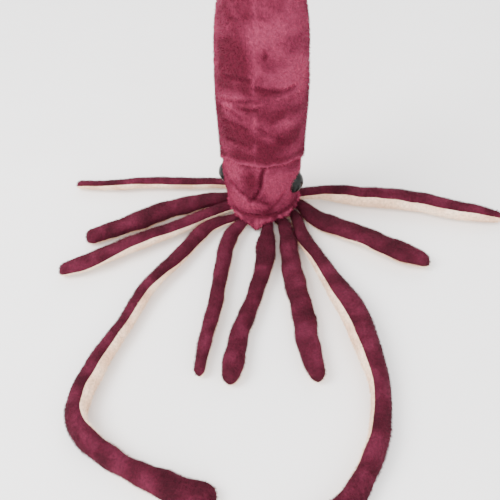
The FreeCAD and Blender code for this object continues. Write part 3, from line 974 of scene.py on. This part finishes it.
# The side of the mantle's cone as radius and height, and the ways along and off it.
cone_foot = np.array((32.4, 200.0))
cone_run = np.array((8.8, 286.0)) - cone_foot
cone_run /= np.linalg.norm(cone_run)
cone_out = np.array((cone_run[1], -cone_run[0]))
fin_root = cone_foot + cone_run * (3.0 / cone_run[1]) + cone_out * 1.2
rim = through([(along, out, 0) for along, out in FIN_EDGE], 40)
turns = np.arange(FIN_RING) * 2 * math.pi / FIN_RING
for side, name in ((-1, "fin_left"), (1, "fin_right")):
    fin_rows = []
    for share in np.linspace(0, 1, FIN_ROWS):
        along = 0.02 + 0.96 * share
        span = np.interp(along, rim[:, 0], rim[:, 1])
        centre = fin_root + cone_run * FIN_LENGTH * along
        middle = centre + cone_out * (FIN_SPAN * span / 2 - FIN_TUCK / 2)
        half = FIN_SPAN * span / 2 + FIN_TUCK / 2
        thick = FIN_HALF_THICKNESS * math.sin(math.pi * (0.12 + 0.76 * share)) + 0.4
        fin_rows.append(np.column_stack([
            side * (middle[0] + cone_out[0] * half * np.cos(turns)),
            -thick * np.sign(np.sin(turns)) * np.abs(np.sin(turns)) ** 0.8,
            middle[1] + cone_out[1] * half * np.cos(turns),
        ]))
    fin = sewn(
        name, leaned(np.array(fin_rows)), lambda row, turn: turn >= FIN_RING // 2, BODY_PLUSH
    )
    held = held_at(FIN_ROWS, FIN_RING, (0, FIN_RING // 2), lambda row: False)
    filled(fin, held, pressure=2.0, reach=0.002)
    show(fin, "maroon_plush", name + "_front", name + "_back")
    fin_pile = grow_pile(
        fin, (side * 0.6, 0, -0.5), BODY_PLUSH, length_mm=2.0, per_mm2=0.9, seed=41 + side
    )
    for part in (fin, fin_pile):
        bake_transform(part)


# ------------------------------------------------------------------------ arms
# Eight thin tubes, each a maroon strip and a cream strip of plush sewn edge to
# edge and lightly filled. They are sewn to the head under the skirt, and each
# has rolled a little as it fell, so more or less of its cream side shows.
# The same polyester plush from a darker dye lot.
limb_skin = plush("maroon_limb_plush_knit", "#340916", "#420F1F", "#50182A", 22, 1.9, False)
limb_pile = plush("maroon_limb_plush_pile", "#3A0817", "#491020", "#59182B", 22, 1.9, True)
LIMB_PLUSH = (limb_skin, cream_skin, limb_pile, cream_pile)
LIMB_RING = 20
CREAM_SIDES = range(11, 19)
LIMB_SEAMS = (11, 19)
EDGE_WAVE = 0.10
ROLL_WAVE = 5
SWAY = 0.8
RESTS_AT = 2.2
NO_PILE_BELOW = 2.4
TIP_ANGLES = (15, 30, 44, 57, 69, 79, 86)


def tip_places(length, width):
    """How far along a limb its rings lie: even, then closing in at the round tip."""
    tip = width / 2
    even = np.linspace(0, length - tip, max(8, int(length / 3)))
    angles = np.radians(TIP_ANGLES)
    return np.r_[even, length - tip + tip * np.sin(angles)], np.r_[
        np.ones(len(even)), np.cos(angles)
    ]


def limb_rows(stations, seed):
    """Rings along a limb, from stations of x, y, width, thickness and roll."""
    knots = np.asarray(stations, float)
    flat = np.column_stack([knots[:, :2], np.zeros(len(knots)), knots[:, 2:]])
    line = through(flat, 400)
    gone = np.r_[0, np.cumsum(np.linalg.norm(np.diff(line[:, :2], axis=0), axis=1))]
    spots, shares = tip_places(gone[-1], line[-1, 3])
    laid = np.column_stack([np.interp(spots, gone, column) for column in line.T])
    turns = np.arange(LIMB_RING) * 2 * math.pi / LIMB_RING
    up = np.array((0.0, 0.0, 1.0))
    rows = []
    for (x, y, _, width, thick, roll), spot, share in zip(laid, spots, shares):
        before = [np.interp(max(spot - 3, 0), gone, line[:, axis]) for axis in (0, 1)]
        after = [np.interp(min(spot + 3, gone[-1]), gone, line[:, axis]) for axis in (0, 1)]
        heading = np.subtract(after, before) / np.linalg.norm(np.subtract(after, before))
        side = np.array((-heading[1], heading[0], 0.0))
        near_wave = math.sin(spot / 5.0 + seed) * math.sin(spot / 17 + 2 * seed)
        far_wave = math.sin(spot / 6.3 + 3 * seed) * math.sin(spot / 13 + seed)
        turn = math.radians(roll + ROLL_WAVE * math.sin(spot / 21 + seed))
        broad = side * math.cos(turn) + up * math.sin(turn)
        deep = up * math.cos(turn) - side * math.sin(turn)
        across = np.sign(np.cos(turns)) * np.abs(np.cos(turns)) ** 0.92 * width / 2
        across *= 1 + EDGE_WAVE * np.where(across > 0, near_wave, far_wave)
        above = np.sign(np.sin(turns)) * np.abs(np.sin(turns)) ** 0.88 * thick / 2
        section = across[:, None] * broad + above[:, None] * deep
        centre = RESTS_AT - section[:, 2].min() * (0.35 + 0.65 * share)
        sway = side * (SWAY * math.sin(spot / 14 + 3 * seed))
        rows.append(np.array((x, y, centre)) + sway + share * section)
    return rows


def make_limb(name, rows, seed):
    """One stuffed limb or stretch of a limb with its pile.
    """
    limb = sewn(name, rows, lambda row, side: side in CREAM_SIDES, LIMB_PLUSH)
    last = len(rows) - 1
    held = held_at(
        len(rows), LIMB_RING, LIMB_SEAMS, lambda row: row < 2 or row > last - 2
    )
    filled(limb, held, pressure=2.0, reach=0.0008)
    show(limb, "maroon_plush_limb", name + "_top", name + "_under", name + "_stuffing")
    spots = places(limb.data) / MM
    paint_nap_and_shade(limb.data, 0.6 * wandering(spots, 26, seed))
    run = rows[-1].mean(0) - rows[0].mean(0)
    run /= np.linalg.norm(run)
    pile = grow_pile(
        limb, run, LIMB_PLUSH, length_mm=1.9, per_mm2=1.1, seed=seed,
        bare=lambda at: (at[:, 2] < NO_PILE_BELOW).astype(float),
    )
    for part in (limb, pile):
        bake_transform(part)


# Angle round the head, then stations of x, y, width, thickness and roll. A roll
# turns the cream strip up on one side or the other.
ARMS = {
    "arm_left_rear": (135, (
        (-50, 28, 11, 10, 40), (-88, 26, 13, 11, 44), (-131, 21, 14, 11, 42),
        (-166, 17, 13, 10, 46), (-210, 14, 9, 8, 42))),
    "arm_left_outer": (169, (
        (-58, 1, 16, 12, 0), (-80, -10, 19, 13, -5), (-110, -26, 22, 13, -6),
        (-137, -45, 21, 13, -3), (-170, -66, 15, 12, -5))),
    "arm_left_middle": (191, (
        (-62, -26, 13, 12, 32), (-82, -43, 15, 14, 42), (-108, -63, 18, 15, 44),
        (-134, -81, 20, 15, 36), (-161, -98, 19, 13, 20), (-182, -110, 13, 11, 16))),
    "arm_left_front": (238, (
        (-27, -51, 15, 12, 5), (-25, -88, 14, 12, 8), (-24, -123, 13, 12, 10),
        (-23, -164, 12, 11, 15), (-22, -206, 9, 9, 15))),
    "arm_right_front": (285, (
        (12, -60, 18, 13, 4), (13, -82, 18, 12, 6), (11, -100, 15, 12, 4), (10, -131, 14, 12, 0),
        (5, -160, 16, 12, -5), (4, -187, 18, 12, 0), (6, -211, 14, 12, 0))),
    "arm_right_middle": (-48, (
        (31, -54, 16, 13, 0), (39, -80, 18, 13, 4), (48, -112, 19, 13, 6),
        (58, -145, 20, 12, 0), (68, -175, 18, 12, 0), (76, -200, 12, 11, 0))),
    "arm_right_outer": (3, (
        (57, -18, 19, 13, -6), (84, -32, 23, 14, -12), (112, -44, 25, 14, -18),
        (138, -55, 24, 14, -18), (163, -65, 13, 10, -15))),
    "arm_right_rear": (29, (
        (53, 19, 15, 13, -42), (81, 17, 17, 18, -56), (113, 15, 18, 19, -60),
        (144, 12, 18, 19, -60), (175, 7, 17, 18, -58), (208, 2, 14, 15, -54),
        (231, 0, 9, 9, -48))),
}


ROOT_START = 32
ROOT_END = 47


def ring_spot(angle, radius):
    """A place under the skirt, at an angle round the head."""
    return (radius * math.cos(math.radians(angle)), radius * math.sin(math.radians(angle)))


for seed, (name, (angle, stations)) in enumerate(ARMS.items(), start=1):
    # Two more stations under the skirt start each limb, narrow and rolled less.
    roll = stations[0][4]
    start = (
        ring_spot(angle, 24) + (9, 9, roll * 0.3),
        ring_spot(angle, 36) + (11, 10.5, roll * 0.7),
    )
    make_limb(
        name, limb_rows(start + stations, seed), 50 + seed,
    )


# ------------------------------------------------------------------- tentacles
# Two long feeding tentacles, made as the arms are but thinner and far longer.
# Each is turned on its edge, has a bend part way, and ends in a broader club.
TENTACLES = {
    "tentacle_left": (219, 1, (
        ("stalk", ((-50, -38, 14, 11, 5), (-66, -69, 15, 12, 20), (-80, -102, 16, 13, 46),
                   (-92, -132, 14, 14, 62), (-100, -168, 14, 14, 74), (-104, -187, 14, 16, 80))),
        ("elbow", ((-109, -212, 15, 18, 84), (-113, -240, 18, 18, 80), (-105, -265, 19, 16, 60),
                   (-73, -286, 17, 12, 22))),
        ("club", ((-47, -296, 17, 12, 8), (-18, -302, 21, 12, 0), (14, -305, 17, 11, 0))),
    )),
    "tentacle_right": (-21, -1, (
        ("stalk", ((45, -45, 14, 11, -20), (63, -72, 16, 14, -50), (77, -96, 18, 17, -60),
                   (90, -120, 21, 22, -66), (104, -143, 21, 23, -68), (115, -171, 20, 20, -68))),
        ("elbow", ((121, -190, 18, 17, -66), (125, -212, 17, 15, -68), (126, -247, 17, 15, -68),
                   (114, -282, 18, 12, -40))),
        ("club", ((100, -305, 19, 12, -10), (82, -330, 22, 12, 0), (63, -354, 17, 11, 0))),
    )),
}
# How far before each of its two joints, in millimetres, the tentacle is cut between stretches.
JOINT = 10.0


def closed_off(rows):
    """Rings with one more close behind each end, so that the cut ends stay full."""
    inner_first = rows[0] + 0.25 * (rows[0] - rows[1])
    inner_last = rows[-1] + 0.25 * (rows[-1] - rows[-2])
    return np.array([inner_first, *rows, inner_last])


for seed, (name, (angle, hand, stretches)) in enumerate(TENTACLES.items(), start=1):
    route = [ring_spot(angle, 24) + (8.5, 8.5, 10 * hand), ring_spot(angle, 36) + (10, 9, 20 * hand)]
    pivots = []
    for stretch, stations in stretches:
        route += list(stations)
        pivots.append(stations[-1][:2])
    rows = np.array(limb_rows(route, 7 * seed))
    middles = rows.mean(axis=1)[:, :2]
    cuts = [
        int(np.argmin(np.linalg.norm(middles - np.array(pivot), axis=1))) for pivot in pivots[:2]
    ]
    step = np.linalg.norm(middles[cuts[0] + 1] - middles[cuts[0]])
    back = max(1, round(JOINT / step))
    bounds = [0, cuts[0] - back, cuts[1] - back, len(rows) - 1]
    bends = [(ring_spot(angle, ROOT_START), ring_spot(angle, ROOT_END))]
    for cut in cuts:
        bends.append((middles[cut - back], middles[min(cut + back, len(rows) - 1)]))
    holder = "head"
    for index, ((stretch, _), (start, end)) in enumerate(zip(stretches, bends)):
        part_name = "%s_%s" % (name, stretch)
        make_limb(
            part_name, closed_off(rows[bounds[index]:bounds[index + 1] + 1]),
            70 + 10 * seed + index,
        )
        holder = part_name


# --------------------------------------------------------------- lock washers
# Two lock washers behind the fabric, out of sight inside the head. They keep
# their solids' own shape, in white nylon, moulded and left matt from the die.
nylon, tree = bare_material("nylon_moulded")
place = add(tree, "ShaderNodeTexCoord").outputs["Object"]
moulded = add(tree, "ShaderNodeBsdfPrincipled", {
    "Base Color": two_toned(tree, place, 1200.0, "#DAD8D0", "#E8E6E0"),
    "Roughness": 0.5, "IOR": 1.53,
})
add(tree, "ShaderNodeOutputMaterial", {"Surface": moulded.outputs[0]})
for name in ("eye_washer_left", "eye_washer_right"):
    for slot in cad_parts[name].material_slots:
        slot.material = nylon


# ------------------------------------------------------------------- loose fibre
# The one loose fibre that the pile was copied from is taken away.
bpy.data.objects.remove(fibre)
